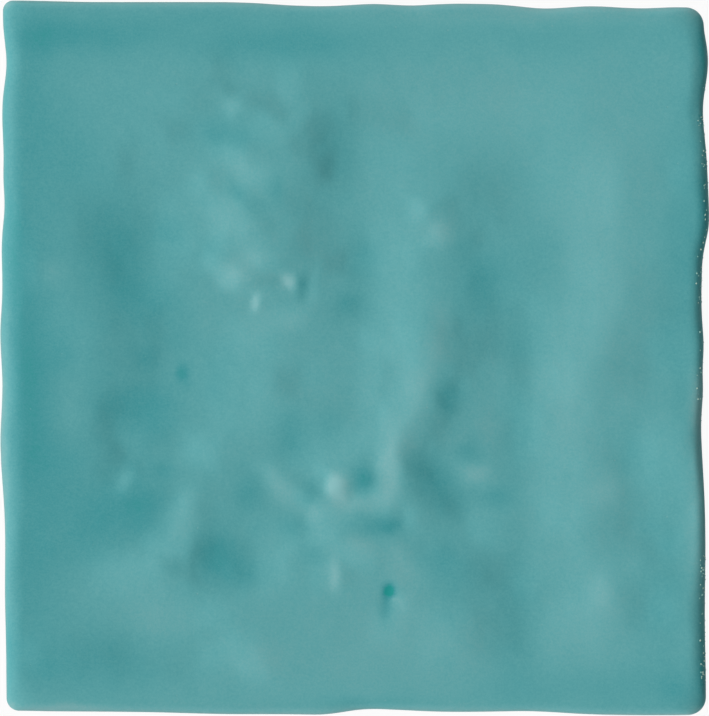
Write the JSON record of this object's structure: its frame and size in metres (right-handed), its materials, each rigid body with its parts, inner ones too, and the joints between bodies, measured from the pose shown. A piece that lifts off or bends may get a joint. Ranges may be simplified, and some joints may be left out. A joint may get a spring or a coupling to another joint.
{
  "type": "ceramic wall tile",
  "caption": "Square glazed wall tile with wavering sides, rolled edges and a gently uneven face, fixed to a wall by its flat back.",
  "frame": {"origin": "on the flat back, in the middle of the tile", "axes": "+Z out of the glazed face, +X to the right across the face, +Y up the face"},
  "size_m": [0.1309, 0.132, 0.011],
  "materials": {
    "glaze": "satin"
  },
  "bodies": {
    "root": {"wall_tile": "glaze"}
  },
  "joints": []
}
